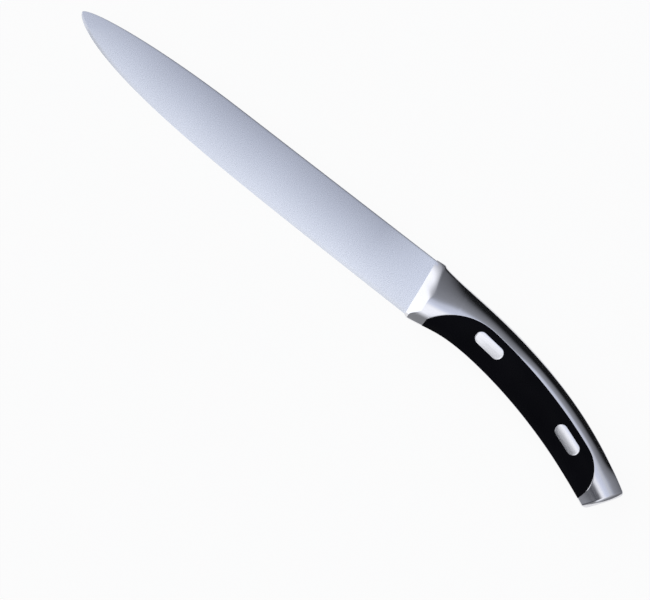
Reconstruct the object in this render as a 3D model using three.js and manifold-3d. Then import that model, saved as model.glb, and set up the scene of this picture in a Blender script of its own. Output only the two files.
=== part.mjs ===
// Kitchen slicing knife: a flat-ground steel blade, welded by its tongue into a cast steel handle frame
// that is bolster, spine band, tang and pommel in one. A black plastic scale is let into each side of
// the frame, and two oblong two-piece rivets clamp the scales to the tang.
//
// Millimetres. The knife lies on its right side: +X runs from the point to the pommel, +Y to the spine
// and +Z out of the left side. The pieces are drawn from the heel of the cutting edge, on the knife's
// middle plane, and the finished group is moved so that its origin is on the table under its middle.

import * as THREE from "three";
import { mergeVertices } from "three/addons/utils/BufferGeometryUtils.js";
import Module from "manifold-3d";

// Blade
const BLADE_LENGTH = 200;
const BLADE_HEIGHT = 28.3;
const SPINE_THICKNESS = 2.3; // at the heel
const EDGE_THICKNESS = 0.5; // at the heel, above the sharpened bevel
const TIP_THICKNESS = 1; // where the ground faces reach the point
const POINT_THICKNESS = 0.35; // left at the point itself
const POINT_TAPER = 0.06; // growth of the thickness behind the point, for each millimetre
const POINT_BLUNT = 0.1; // left off the sharp point
const BEVEL_HEIGHT = 1.2;
const CUTTING_EDGE = 0.12; // thickness left along the cutting edge
const SPINE_CHAMFER = 0.25;
const TIP_DROP = 9; // from the line of the spine down to the point
const TIP_CURVE_LENGTH = 85; // stretch of the spine that drops to the point
const TIP_ROUNDING = 0.6; // power: lower is rounder
const EDGE_SLOPE = 0.01; // rise of the edge near the heel
const BELLY_SHARPNESS = 4.6; // power: higher keeps the edge straight for longer
const HEEL_SLANT = THREE.MathUtils.degToRad(6.5);
const TONGUE_LENGTH = 13;
const TONGUE_HEIGHT = 13;
const TONGUE_SET_IN = 0.08; // from each ground face

// Handle
const HANDLE_LENGTH = 131; // along the centreline, from the heel of the blade
const HANDLE_THICKNESS = 15;
const GRIP_HEIGHT = 23.2;
const POMMEL_TAPER = 3.8; // height lost from the grip to the pommel's end
const POMMEL_TAPER_POWER = 4;
const POMMEL_ROUND = 2.2;
const POMMEL_RAKE = THREE.MathUtils.degToRad(6);
const POMMEL_RAKE_RUN = 25;
const BEND_START = 17;
const BEND_RADIUS = 236;
const CENTRELINE_RISE = 0.3; // above the middle of the blade's height
const SPINE_PROUD = 0.95; // of the bolster over the blade's spine
const SPINE_FLARE_RUN = 14.5;
const CREST_RISE = 3;
const CREST_RUN = 5.5;
const HEEL_PROUD = 1.1; // of the bolster below the cutting edge
const HEEL_FLARE_RUN = 16;
const HEEL_FLARE_POWER = 1.85;
const COLLAR_LENGTH = 4.6; // rounded shoulder, from the heel of the blade to the ridge of the bolster
const COLLAR_LIP = 0.35; // step from the blade's face up to the collar
const COLLAR_SLOPES = [80, 20].map(THREE.MathUtils.degToRad); // at the blade and at the ridge
const WIDEST_AT_BOLSTER = -3; // from the centreline to the line on each side where the handle is widest
const WIDEST_AT_GRIP = 4.4;
const WIDEST_AT_POMMEL = 2.6;
const GRIP_START = 40; // where that line has risen to the grip
const POMMEL_RUN = 31; // stretch in which it falls again and the grip becomes the pommel
const LAND_WIDTH = 2.6; // flat stretch below that line, along the grip
const LAND_AT_ENDS = 0.4;
const BACK_DROP_AT_BOLSTER = 5.7; // fall of a side from its widest line to its corner at the spine
const BACK_DROP_AT_GRIP = 3.1;
const BACK_DROP_AT_POMMEL = 2.1;
const FLANK_DROP_AT_BOLSTER = 4.7; // and to its corner at the belly
const FLANK_DROP_AT_GRIP = 5.6;
const FLANK_DROP_AT_POMMEL = 5.2;
const SIDE_POWER = 2; // how a side falls away: 1 is straight, and higher is rounder
const BACK_POWER_AT_BOLSTER = 1.4;
const CORNER_RIM = 0.5; // height that a rounded corner takes at the spine or the belly
const CORNER_DEPTH = 1.7; // least distance from the middle plane to where a rounded corner starts
const TANG_THICKNESS = 3.2;

// Scales
const BOLSTER_LENGTH = 11.1; // steel left in front of the scales
const POMMEL_LENGTH = 6.65; // steel left behind them
const BAND_WIDTH = 6.6; // steel left along the spine
const SCALE_FRONT_RADIUS = 33.4;
const SCALE_FRONT_CUT = THREE.MathUtils.degToRad(33); // where the scales' straight front cuts that arc
const SCALE_REAR_RADIUS = 18.4;

// Rivets
const FRONT_RIVET_INSET = 30.1; // from the scales' front end
const REAR_RIVET_INSET = 26.95; // from their rear end
const RIVET_OFFSET = -1.2; // from the centreline
const RIVET_LENGTH = 15.8;
const RIVET_WIDTH = 6;
const RIVET_HEAD = 2.2; // thickness of a head before it is ground to the handle's side
const SOCKET_DIAMETER = 5;
const STUD_DIAMETER = 3;
const SHANK_SET_IN = 0.5; // of a shank into its own head
const SHANK_END_GAP = 0.6; // between a shank's end and the far head

const FIT = 0.1; // gap between pieces that are welded, bedded or pressed together

// Steps of the curved faces
const BLADE_STEPS = 22;
const NECK_STEPS = 9;
const BEND_STEPS = 26;
const ROUND_STEPS = 4;
const SIDE_STEPS = 6;
const COLLAR_STEPS = 9;
const CORNER_STEPS = 4;
const OUTLINE_STEPS = 90;
const RIVET_STEPS = 9;
const SHANK_SIDES = 24;

const QUARTER = Math.PI / 2;
const bladeMiddle = BLADE_HEIGHT / 2;
const tipHeight = BLADE_HEIGHT - TIP_DROP;
const centrelineHeight = bladeMiddle + CENTRELINE_RISE;
const halfThickness = HANDLE_THICKNESS / 2;
const halfTang = TANG_THICKNESS / 2;
const scaleRear = HANDLE_LENGTH - POMMEL_LENGTH;
const beyond = HANDLE_THICKNESS; // how far a cutting shape reaches past what it cuts

const wasm = await Module();
wasm.setup();

// A closed geometry as a solid that can be joined and cut.
function solid(geometry) {
  const bare = geometry.clone();
  bare.deleteAttribute("normal");
  bare.deleteAttribute("uv");
  const merged = mergeVertices(bare);
  return new wasm.Manifold(
    new wasm.Mesh({
      numProp: 3,
      vertProperties: merged.attributes.position.array,
      triVerts: new Uint32Array(merged.index.array),
    }),
  );
}

// A solid as a named mesh with its own material.
function piece(name, made, finish) {
  const { vertProperties, triVerts } = made.getMesh();
  const geometry = new THREE.BufferGeometry();
  geometry.setAttribute("position", new THREE.BufferAttribute(vertProperties, 3));
  geometry.setIndex(new THREE.BufferAttribute(triVerts, 1));
  geometry.computeVertexNormals();
  const mesh = new THREE.Mesh(geometry, new THREE.MeshStandardMaterial(finish));
  mesh.name = name;
  return mesh;
}

// Skin over rings of equally many points, closed by a flat fan at each end.
function loft(rings) {
  const count = rings[0].length;
  const points = rings.flat();
  const lastStart = points.length - count;
  const firstMiddle = points.push(middleOf(rings[0])) - 1;
  const lastMiddle = points.push(middleOf(rings.at(-1))) - 1;
  const triangles = [];
  for (let j = 0; j < count; j++) {
    const next = (j + 1) % count;
    triangles.push(firstMiddle, next, j);
    triangles.push(lastMiddle, lastStart + j, lastStart + next);
    for (let start = 0; start < lastStart; start += count) {
      const [a, b] = [start + j, start + next];
      triangles.push(a, b, b + count, a, b + count, a + count);
    }
  }
  const geometry = new THREE.BufferGeometry().setFromPoints(points);
  geometry.setIndex(triangles);
  return geometry;
}

function middleOf(ring) {
  const sum = ring.reduce((total, point) => total.add(point), new THREE.Vector3());
  return sum.divideScalar(ring.length);
}

// Both halves of a ring, from the points of its left side, spine to belly.
function mirrored(leftSide) {
  const rightSide = leftSide.filter((point) => point.z > 0).reverse();
  return [...leftSide, ...rightSide.map((point) => new THREE.Vector3(point.x, point.y, -point.z))];
}

// Evenly spaced numbers from one value to another, both included.
function steps(from, to, count) {
  return Array.from({ length: count + 1 }, (_, i) => THREE.MathUtils.lerp(from, to, i / count));
}

// Blade: heights of its spine and edge, and half its thickness on the flat-ground faces.
function spineHeight(x) {
  const intoCurve = Math.max(0, TIP_CURVE_LENGTH - BLADE_LENGTH - x) / TIP_CURVE_LENGTH;
  return BLADE_HEIGHT - TIP_DROP * (1 - (1 - intoCurve ** 2) ** TIP_ROUNDING);
}

function edgeHeight(x) {
  const belly = 1 - (1 - (-x / BLADE_LENGTH) ** BELLY_SHARPNESS) ** TIP_ROUNDING;
  return -x * EDGE_SLOPE + (tipHeight - BLADE_LENGTH * EDGE_SLOPE) * belly;
}

function groundFace(x, y) {
  const upward = (SPINE_THICKNESS - EDGE_THICKNESS) / 2 / (BLADE_HEIGHT - BEVEL_HEIGHT);
  const atHeel = EDGE_THICKNESS / 2 - BEVEL_HEIGHT * upward;
  const backward = (atHeel + tipHeight * upward - TIP_THICKNESS / 2) / BLADE_LENGTH;
  return atHeel + y * upward + x * backward;
}

function halfBlade(x, y) {
  const point = (POINT_THICKNESS + (x + BLADE_LENGTH) * POINT_TAPER) / 2;
  return Math.max(CUTTING_EDGE / 2, Math.min(groundFace(x, y), point));
}

// The heel's line leans back from the spine to the edge.
function heelLine(y) {
  return (bladeMiddle - y) * Math.tan(HEEL_SLANT);
}

function bladeRing(angle) {
  const station = -BLADE_LENGTH * Math.sin(angle);
  const [spine, edge] = [spineHeight(station), edgeHeight(station)];
  const chamfer = Math.min(SPINE_CHAMFER, halfBlade(station, spine) / 2);
  const bevel = Math.min(BEVEL_HEIGHT, (spine - edge) / 3);
  const lean = (1 - Math.sin(angle)) ** 2;
  const at = (y, half) => {
    const x = station + heelLine(y) * lean;
    return new THREE.Vector3(x, y, half(x));
  };
  return mirrored([
    at(spine, (x) => halfBlade(x, spine) - chamfer),
    at(spine - chamfer, (x) => halfBlade(x, spine - chamfer)),
    at(edge + bevel, (x) => halfBlade(x, edge + bevel)),
    at(edge, () => CUTTING_EDGE / 2),
  ]);
}

// The tongue at the blade's heel, or, grown by a gap, the slot that it is welded into.
function tongue(length, gap) {
  const ring = (x) =>
    mirrored(
      [1, -1].map((side) => {
        const y = bladeMiddle + side * (TONGUE_HEIGHT / 2 + gap);
        return new THREE.Vector3(x, y, groundFace(0, y) - TONGUE_SET_IN + gap);
      }),
    );
  return solid(loft([ring(-beyond / 2), ring(length)]));
}

function makeBlade() {
  const pointAngle = Math.asin(1 - POINT_BLUNT / BLADE_LENGTH);
  const body = loft(steps(pointAngle, 0, BLADE_STEPS).map(bladeRing));
  return solid(body).add(tongue(TONGUE_LENGTH, 0));
}

// Handle: a point beside its centreline, which runs straight from the bolster and then bends down.
function turnAt(along) {
  return Math.max(0, along - BEND_START) / BEND_RADIUS;
}

function beside(along, offset) {
  const [turn, radius] = [turnAt(along), BEND_RADIUS + offset];
  const x = Math.min(along, BEND_START) + radius * Math.sin(turn);
  return new THREE.Vector2(x, centrelineHeight - BEND_RADIUS + radius * Math.cos(turn));
}

function gripReach(along) {
  const share = Math.max(0, along) / HANDLE_LENGTH;
  return (GRIP_HEIGHT - POMMEL_TAPER * share ** POMMEL_TAPER_POWER) / 2;
}

// Distance from the centreline out to the spine.
function spineReach(along) {
  const flare = BLADE_HEIGHT + SPINE_PROUD - centrelineHeight - GRIP_HEIGHT / 2;
  const crest = CREST_RISE * Math.max(0, 1 - along / CREST_RUN) ** 2;
  return gripReach(along) + flare * Math.exp(-along / SPINE_FLARE_RUN) + crest;
}

// Distance from the centreline out to the belly.
function bellyReach(along) {
  const flare = centrelineHeight + HEEL_PROUD - GRIP_HEIGHT / 2;
  const run = Math.max(0, along) / HEEL_FLARE_RUN;
  return gripReach(along) + flare * Math.exp(-(run ** HEEL_FLARE_POWER));
}

// Share of the way, eased at both ends, that a place along the handle has come in a stretch of it.
function eased(along, from, to) {
  return THREE.MathUtils.smoothstep(along, from, to);
}

// One side of a section from its land to the middle plane: it falls away ever more steeply and then turns
// a rounded corner. Each point is its distance from the land and from the middle plane.
function sideProfile(reach, half, drop, power) {
  const run = reach - CORNER_RIM;
  const fall = Math.min(drop, half - CORNER_DEPTH);
  const tilt = Math.atan((fall * power) / run);
  const radius = Math.min(CORNER_RIM / (1 - Math.sin(tilt)), (half - fall) / Math.cos(tilt));
  const side = steps(0, 1, SIDE_STEPS).map((share) => [run * share, half - fall * share ** power]);
  const corner = steps(tilt, QUARTER, CORNER_STEPS).map((a) => [
    run + radius * (Math.sin(a) - Math.sin(tilt)),
    half - fall - radius * (Math.cos(tilt) - Math.cos(a)),
  ]);
  return [...side, ...corner.slice(1), [reach, 0]];
}

// Section of the handle, an oval that is widest below the spine band, with a narrow flat land there.
function handleRing(along, drawnIn) {
  const { lerp } = THREE.MathUtils;
  const atGrip = eased(along, GRIP_START / 10, GRIP_START);
  const atPommel = eased(along, HANDLE_LENGTH - POMMEL_RUN, HANDLE_LENGTH - POMMEL_RUN / 3);
  const between = (bolster, grip, pommel) => lerp(lerp(bolster, grip, atGrip), pommel, atPommel);
  const upper = between(WIDEST_AT_BOLSTER, WIDEST_AT_GRIP, WIDEST_AT_POMMEL);
  const lower = upper - between(LAND_AT_ENDS, LAND_WIDTH, LAND_AT_ENDS);
  const half = halfThickness - drawnIn;
  const backDrop = between(BACK_DROP_AT_BOLSTER, BACK_DROP_AT_GRIP, BACK_DROP_AT_POMMEL);
  const rounded = eased(along, GRIP_START / 8, (GRIP_START * 3) / 4);
  const backPower = lerp(BACK_POWER_AT_BOLSTER, SIDE_POWER, rounded);
  const flankDrop = between(FLANK_DROP_AT_BOLSTER, FLANK_DROP_AT_GRIP, FLANK_DROP_AT_POMMEL);
  const back = sideProfile(spineReach(along) - drawnIn - upper, half, backDrop, backPower);
  const flank = sideProfile(bellyReach(along) - drawnIn + lower, half, flankDrop, SIDE_POWER);
  const rake = POMMEL_RAKE * eased(along, HANDLE_LENGTH - POMMEL_RAKE_RUN, HANDLE_LENGTH);
  const at = (offset, z) => {
    const { x, y } = beside(along + offset * Math.tan(rake), offset);
    return new THREE.Vector3(x, y, z);
  };
  return mirrored([
    ...back.reverse().map(([out, z]) => at(upper + out, z)),
    ...flank.map(([out, z]) => at(lower - out, z)),
  ]);
}

// Ridge of the bolster, where its sides end, parallel to the heel: a place along for each point of a ring.
function ridgePlaces() {
  return handleRing(COLLAR_LENGTH, 0).map((start, j) => {
    let along = FIT + COLLAR_LENGTH + heelLine(start.y);
    for (let i = 0; i < 4; i++) along = FIT + COLLAR_LENGTH + heelLine(handleRing(along, 0)[j].y);
    return along;
  });
}

// Ring of the rounded collar, which grows from the blade's section at the heel out to the ridge.
function collarRing(ridge, slope) {
  const [first, last] = COLLAR_SLOPES;
  const forward = (Math.sin(slope) - Math.sin(first)) / (Math.sin(last) - Math.sin(first));
  const climbed = (Math.cos(first) - Math.cos(slope)) / (Math.cos(first) - Math.cos(last));
  return ridge.map(({ y, z }) => {
    const footY = THREE.MathUtils.clamp(y, 0, BLADE_HEIGHT);
    const half = groundFace(0, footY);
    const footZ = footY === y ? Math.sign(z) * half : THREE.MathUtils.clamp(z, -half, half);
    const foot = new THREE.Vector2(footY, footZ);
    const out = new THREE.Vector2(y, z).sub(foot);
    const lip = Math.min(COLLAR_LIP / out.length(), 1 / 2);
    foot.addScaledVector(out, THREE.MathUtils.lerp(lip, 1, climbed));
    return new THREE.Vector3(FIT + COLLAR_LENGTH * forward + heelLine(foot.x), foot.x, foot.y);
  });
}

function makeHandleBody() {
  const roundStart = HANDLE_LENGTH - POMMEL_ROUND;
  const ridgeAt = ridgePlaces();
  const neckRing = (share) =>
    ridgeAt.map((along, j) => handleRing(THREE.MathUtils.lerp(along, BEND_START, share), 0)[j]);
  const roundRing = (a) =>
    handleRing(roundStart + POMMEL_ROUND * Math.sin(a), POMMEL_ROUND * (1 - Math.cos(a)));
  return solid(
    loft([
      ...steps(...COLLAR_SLOPES, COLLAR_STEPS).slice(0, -1).map((slope) => collarRing(neckRing(0), slope)),
      ...steps(0, 1, NECK_STEPS).slice(0, -1).map(neckRing),
      ...steps(BEND_START, roundStart, BEND_STEPS).map((along) => handleRing(along, 0)),
      ...steps(0, QUARTER, ROUND_STEPS).slice(1).map(roundRing),
    ]),
  );
}

// Block of the scales' outline, from the tang outwards on one side, drawn in from its pocket by a gap.
function scaleBlock(side, gap) {
  const top = GRIP_HEIGHT / 2 - BAND_WIDTH - gap;
  const below = -GRIP_HEIGHT - beyond;
  const [front, rear] = [BOLSTER_LENGTH + gap, scaleRear - gap];
  const [frontRadius, rearRadius] = [SCALE_FRONT_RADIUS - gap, SCALE_REAR_RADIUS - gap];
  const frontCentre = BOLSTER_LENGTH + SCALE_FRONT_RADIUS * Math.cos(SCALE_FRONT_CUT);
  const frontCut = Math.PI - Math.acos((frontCentre - front) / frontRadius);
  const path = new THREE.Path();
  path.moveTo(front, below);
  path.absarc(frontCentre, top - frontRadius, frontRadius, frontCut, QUARTER, true);
  path.absarc(rear - rearRadius, top - rearRadius, rearRadius, QUARTER, 0, true);
  path.lineTo(rear, below);
  const outline = path.getSpacedPoints(OUTLINE_STEPS).map((point) => beside(point.x, point.y));
  const floor = halfTang + gap;
  const depth = halfThickness + beyond - floor;
  const block = new THREE.ExtrudeGeometry(new THREE.Shape(outline), { depth, bevelEnabled: false });
  block.translate(0, 0, side > 0 ? floor : -floor - depth);
  return solid(block);
}

// Rivets, drawn about their own axis, with the left head up.
function oblong(grown) {
  const radius = RIVET_WIDTH / 2 + grown;
  const centre = (RIVET_LENGTH - RIVET_WIDTH) / 2;
  const shape = new THREE.Shape();
  shape.absarc(centre, 0, radius, -QUARTER, QUARTER, false);
  shape.absarc(-centre, 0, radius, QUARTER, -QUARTER, false);
  return shape;
}

function slab(shape, from, to) {
  const settings = { depth: to - from, bevelEnabled: false, curveSegments: RIVET_STEPS };
  return solid(new THREE.ExtrudeGeometry(shape, settings).translate(0, 0, from));
}

function rod(diameter, from, to) {
  const round = new THREE.CylinderGeometry(diameter / 2, diameter / 2, to - from, SHANK_SIDES);
  return solid(round.rotateX(QUARTER).translate(0, 0, (from + to) / 2));
}

const headSeat = halfThickness - RIVET_HEAD;

function rivetPlace(along) {
  const { x, y } = beside(along, RIVET_OFFSET);
  return { x, y, turned: THREE.MathUtils.radToDeg(-turnAt(along)) };
}

// A head between two heights, ground to the side of the handle.
function makeHead(along, from, to) {
  const { x, y, turned } = rivetPlace(along);
  const around = handleBody.translate([-x, -y, 0]).rotate([0, 0, -turned]);
  return slab(oblong(0), from, to).intersect(around);
}

function makeSocket(along) {
  const open = SHANK_END_GAP - headSeat;
  const tube = rod(SOCKET_DIAMETER, open, headSeat + SHANK_SET_IN);
  const bore = rod(STUD_DIAMETER + 2 * FIT, open - beyond, headSeat);
  return makeHead(along, headSeat, halfThickness).add(tube).subtract(bore);
}

function makeStud(along) {
  const pin = rod(STUD_DIAMETER, -headSeat - SHANK_SET_IN, headSeat - SHANK_END_GAP);
  return makeHead(along, -halfThickness, -headSeat).add(pin);
}

// What a rivet's heads and shank leave free in the scales and the tang.
function makeRivetHole(along) {
  const outside = halfThickness + beyond;
  const seat = headSeat - FIT;
  const shank = rod(SOCKET_DIAMETER + 2 * FIT, -outside, outside);
  const heads = slab(oblong(FIT), seat, outside).add(slab(oblong(FIT), -outside, -seat));
  const { x, y, turned } = rivetPlace(along);
  return heads.add(shank).rotate([0, 0, turned]).translate([x, y, 0]);
}

const satinSteel = { color: 0xbfc1c9, metalness: 1, roughness: 0.32 };
const castSteel = { color: 0xb4b6bc, metalness: 1, roughness: 0.22 };
const blackPlastic = { color: 0x0a0a10, metalness: 0, roughness: 0.42 };
const rivetSteel = { color: 0xd2d3d8, metalness: 1, roughness: 0.25 };

const rivetsAt = { front: BOLSTER_LENGTH + FRONT_RIVET_INSET, rear: scaleRear - REAR_RIVET_INSET };
const rivetHoles = Object.values(rivetsAt).map(makeRivetHole);
const drilled = (made) => rivetHoles.reduce((left, hole) => left.subtract(hole), made);
const handleBody = makeHandleBody();

function makeFrame() {
  const pockets = scaleBlock(1, 0).add(scaleBlock(-1, 0));
  const slot = tongue(TONGUE_LENGTH + FIT, FIT);
  return drilled(handleBody.subtract(pockets).subtract(slot));
}

function makeScale(side) {
  return drilled(handleBody.intersect(scaleBlock(side, FIT)));
}

const knife = new THREE.Group();
knife.add(piece("blade", makeBlade(), satinSteel));
knife.add(piece("handle_frame", makeFrame(), castSteel));
knife.add(piece("left_scale", makeScale(1), blackPlastic));
knife.add(piece("right_scale", makeScale(-1), blackPlastic));
for (const [place, along] of Object.entries(rivetsAt)) {
  const rivet = new THREE.Group();
  rivet.add(piece(`${place}_rivet_socket`, makeSocket(along), rivetSteel));
  rivet.add(piece(`${place}_rivet_stud`, makeStud(along), rivetSteel));
  const { x, y, turned } = rivetPlace(along);
  rivet.position.set(x, y, 0);
  rivet.rotation.z = THREE.MathUtils.degToRad(turned);
  knife.add(rivet);
}

const middle = new THREE.Box3().setFromObject(knife, true).getCenter(new THREE.Vector3());
knife.position.set(-middle.x, -middle.y, halfThickness);

export default knife;
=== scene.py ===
import math

import bmesh
import bpy
from mathutils import Matrix, Vector


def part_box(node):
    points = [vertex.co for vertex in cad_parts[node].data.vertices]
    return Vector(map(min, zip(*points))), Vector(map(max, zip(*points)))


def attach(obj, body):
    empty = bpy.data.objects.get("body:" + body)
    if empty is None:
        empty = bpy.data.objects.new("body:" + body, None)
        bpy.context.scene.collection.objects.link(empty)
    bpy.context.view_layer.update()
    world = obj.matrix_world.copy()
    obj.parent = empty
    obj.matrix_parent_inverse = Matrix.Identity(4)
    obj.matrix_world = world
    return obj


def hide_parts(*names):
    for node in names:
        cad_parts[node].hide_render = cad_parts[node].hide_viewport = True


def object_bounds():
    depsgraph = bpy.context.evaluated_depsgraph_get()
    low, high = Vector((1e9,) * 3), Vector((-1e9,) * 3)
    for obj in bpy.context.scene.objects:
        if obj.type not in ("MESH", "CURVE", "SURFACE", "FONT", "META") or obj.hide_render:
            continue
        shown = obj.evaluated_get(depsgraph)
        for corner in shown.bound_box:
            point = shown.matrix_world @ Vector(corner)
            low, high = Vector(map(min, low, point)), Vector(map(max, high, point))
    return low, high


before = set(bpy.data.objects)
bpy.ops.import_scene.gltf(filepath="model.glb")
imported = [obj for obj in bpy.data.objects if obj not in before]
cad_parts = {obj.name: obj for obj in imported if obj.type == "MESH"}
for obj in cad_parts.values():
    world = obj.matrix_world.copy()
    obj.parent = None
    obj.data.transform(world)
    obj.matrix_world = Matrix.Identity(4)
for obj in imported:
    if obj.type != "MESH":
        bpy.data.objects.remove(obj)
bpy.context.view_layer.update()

# Handle frame: one stainless casting that is bolster, spine band, tang and pommel. Its sides are ground
# to a soft oval, the shoulder of the bolster is rounded down to the blade and polished bright, and a
# pocket is milled into each side, down to the tang, for the black scales.
MILLIMETRE = 0.001
QUARTER = math.pi / 2

# Sizes of the blade, in millimetres, that the bolster is fitted to
BLADE_LENGTH = 200.0
BLADE_HEIGHT = 28.3
POINT_BLUNT = 0.1
SPINE_THICKNESS = 2.3
EDGE_THICKNESS = 0.5
TIP_THICKNESS = 1.0
TIP_DROP = 9.0
TIP_HEIGHT = BLADE_HEIGHT - TIP_DROP
BEVEL_HEIGHT = 1.2
HEEL_SLANT = math.radians(6.5)

# Outline and bend of the handle, in millimetres from the heel of the blade
HANDLE_LENGTH = 130.95
HALF_THICKNESS = 7.4995
HALF_TANG = 1.6
GRIP_HEIGHT = 23.2
CENTRELINE = 14.45
BEND_START = 17.0
BEND_RADIUS = 236.0
SPINE_PROUD = 0.95
SPINE_FLARE_RUN = 14.5
CREST_RISE = 3.0
CREST_RUN = 5.5
HEEL_PROUD = 1.1
HEEL_FLARE_RUN = 16.0
HEEL_FLARE_POWER = 1.85
POMMEL_TAPER = 3.8
POMMEL_TAPER_POWER = 4
POMMEL_RAKE = math.radians(6)
RAKE_RUN = 25.0
POMMEL_ROUND = 2.2

# Section of the handle, with values at the bolster, the front and rear of the grip and the pommel
WIDEST_LINE = (-3.0, 3.2, 4.4, 2.6)
LAND_WIDTHS = (0.4, 0.5, 2.6, 0.4)
BACK_DROPS = (5.7, 3.4, 3.0, 1.8)
BACK_POWERS = (1.4, 2.0, 2.5, 2.0)
FLANK_DROPS = (4.7, 5.6, 5.6, 5.2)
FLANK_POWER = 2.0
SPINE_RIMS = (0.75, 0.3, 0.5)
BELLY_RIM = 0.3
GRIP_START = 40.0
BACK_POWER_RUN = (5.0, 24.0)
REAR_GRIP = (46.0, 66.0)
RIM_RUN = (50.0, 98.0)
POMMEL_RUN = 31.0
TAIL = (112.0, 123.0)
STEEPEST = math.tan(math.radians(40))
CORNER_DEPTH = 1.7

# Shares of a side's turn: the back takes 0 to 1, the flat land and the flank what follows
SIDE_SHARE = 0.62
CORNER_SHARE = 0.88
LAND_END = 1.1
BELLY = LAND_END + 1

blade_low, blade_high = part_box("blade")
middle_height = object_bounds()[1].z / 2
heel_corner = Vector((
    blade_low.x + (BLADE_LENGTH - POINT_BLUNT) * MILLIMETRE,
    blade_high.y - BLADE_HEIGHT * MILLIMETRE,
    middle_height,
))
knife_to_row = Matrix.Translation(heel_corner) @ Matrix.Scale(MILLIMETRE, 4)


def smooth_step(value, low, high):
    share = min(1.0, max(0.0, (value - low) / (high - low)))
    return share * share * (3 - 2 * share)


def mix(start, end, share):
    return start + (end - start) * share


def halve_until_zero(low, high, excess):
    """Place between low and high where excess, positive at low, falls to nothing."""
    for _ in range(40):
        middle = (low + high) / 2
        if excess(middle) > 0:
            low = middle
        else:
            high = middle
    return (low + high) / 2


def heel_line(height):
    return (BLADE_HEIGHT / 2 - height) * math.tan(HEEL_SLANT)


def ground_face(x, y):
    """Half the thickness of the blade between its flat-ground faces."""
    upward = (SPINE_THICKNESS - EDGE_THICKNESS) / 2 / (BLADE_HEIGHT - BEVEL_HEIGHT)
    at_heel = EDGE_THICKNESS / 2 - BEVEL_HEIGHT * upward
    backward = (at_heel + TIP_HEIGHT * upward - TIP_THICKNESS / 2) / BLADE_LENGTH
    return at_heel + y * upward + x * backward


def handle_turn(along):
    return max(0.0, along - BEND_START) / BEND_RADIUS


def beside_centreline(along, offset):
    turn = handle_turn(along)
    radius = BEND_RADIUS + offset
    x = min(along, BEND_START) + radius * math.sin(turn)
    return x, CENTRELINE - BEND_RADIUS + radius * math.cos(turn)


def pommel_rake(along):
    return math.tan(POMMEL_RAKE * smooth_step(along, HANDLE_LENGTH - RAKE_RUN, HANDLE_LENGTH))


def grip_reach(along):
    """Half the height of the grip, which shrinks towards the pommel."""
    taper = POMMEL_TAPER * (max(0.0, along) / HANDLE_LENGTH) ** POMMEL_TAPER_POWER
    return (GRIP_HEIGHT - taper) / 2


def reach_to_spine(along):
    proud = BLADE_HEIGHT + SPINE_PROUD - CENTRELINE - GRIP_HEIGHT / 2
    crest = CREST_RISE * max(0.0, 1 - along / CREST_RUN) ** 2
    return grip_reach(along) + proud * math.exp(-along / SPINE_FLARE_RUN) + crest


def reach_to_belly(along):
    proud = CENTRELINE + HEEL_PROUD - GRIP_HEIGHT / 2
    fade = (max(0.0, along) / HEEL_FLARE_RUN) ** HEEL_FLARE_POWER
    return grip_reach(along) + proud * math.exp(-fade)


def handle_section(along, drawn_in):
    """Half thickness, edges of the side's land, and reach, rim, drop and power of back and flank."""
    at_grip = smooth_step(along, GRIP_START / 10, GRIP_START)
    at_rear = smooth_step(along, *REAR_GRIP)
    at_pommel = smooth_step(along, HANDLE_LENGTH - POMMEL_RUN, HANDLE_LENGTH - POMMEL_RUN / 3)
    at_tail = smooth_step(along, *TAIL)

    def between(stations, at_front, at_end):
        bolster, front, rear, pommel = stations
        return mix(mix(mix(bolster, front, at_front), rear, at_rear), pommel, at_end)

    upper = between(WIDEST_LINE, at_grip, at_pommel)
    lower = upper - between(LAND_WIDTHS, at_grip, at_pommel)
    front_rim, rear_rim, pommel_rim = SPINE_RIMS
    rim = mix(mix(front_rim, rear_rim, smooth_step(along, *RIM_RUN)), pommel_rim, at_tail)
    back_drop = between(BACK_DROPS, at_grip, at_tail)
    back_power = between(BACK_POWERS, smooth_step(along, *BACK_POWER_RUN), at_tail)
    back = (reach_to_spine(along) - drawn_in - upper, rim, back_drop, back_power)
    flank_drop = between(FLANK_DROPS, at_grip, at_pommel)
    flank = (reach_to_belly(along) - drawn_in + lower, BELLY_RIM, flank_drop, FLANK_POWER)
    return HALF_THICKNESS - drawn_in, upper, lower, back, flank


def side_place(share, half, reach, rim, drop, power):
    """Distance from the land and height over the middle plane, for a share of the way to that plane."""
    run = reach - rim
    drop = min(drop, half - CORNER_DEPTH)
    slope = drop * power / run
    straight = 1.0 if slope < STEEPEST else (STEEPEST / slope) ** (1 / (power - 1))
    slope = min(slope, STEEPEST)

    def fall(out):
        return drop * min(out, straight) ** power + slope * run * max(0.0, out - straight)

    tilt = math.atan(slope)
    radius = rim / (1 - math.sin(tilt))
    if share < SIDE_SHARE:
        out = share / SIDE_SHARE
        return run * out, half - fall(out)
    if share < CORNER_SHARE:
        angle = mix(tilt, QUARTER, (share - SIDE_SHARE) / (CORNER_SHARE - SIDE_SHARE))
        down = radius * (math.cos(tilt) - math.cos(angle))
        return run + radius * (math.sin(angle) - math.sin(tilt)), half - fall(1.0) - down
    wall = half - fall(1.0) - radius * math.cos(tilt)
    return reach, wall * (1 - share) / (1 - CORNER_SHARE)


def section_place(along, turn, drawn_in=0.0):
    """Offset and height on the handle's left half, for a turn that runs over back, land and flank."""
    half, upper, lower, back, flank = handle_section(along, drawn_in)
    if turn < 1:
        out, z = side_place(1 - turn, half, *back)
        return upper + out, z
    if turn <= LAND_END:
        return mix(upper, lower, (turn - 1) / (LAND_END - 1)), half
    out, z = side_place(min(turn, BELLY) - LAND_END, half, *flank)
    return lower - out, z


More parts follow.
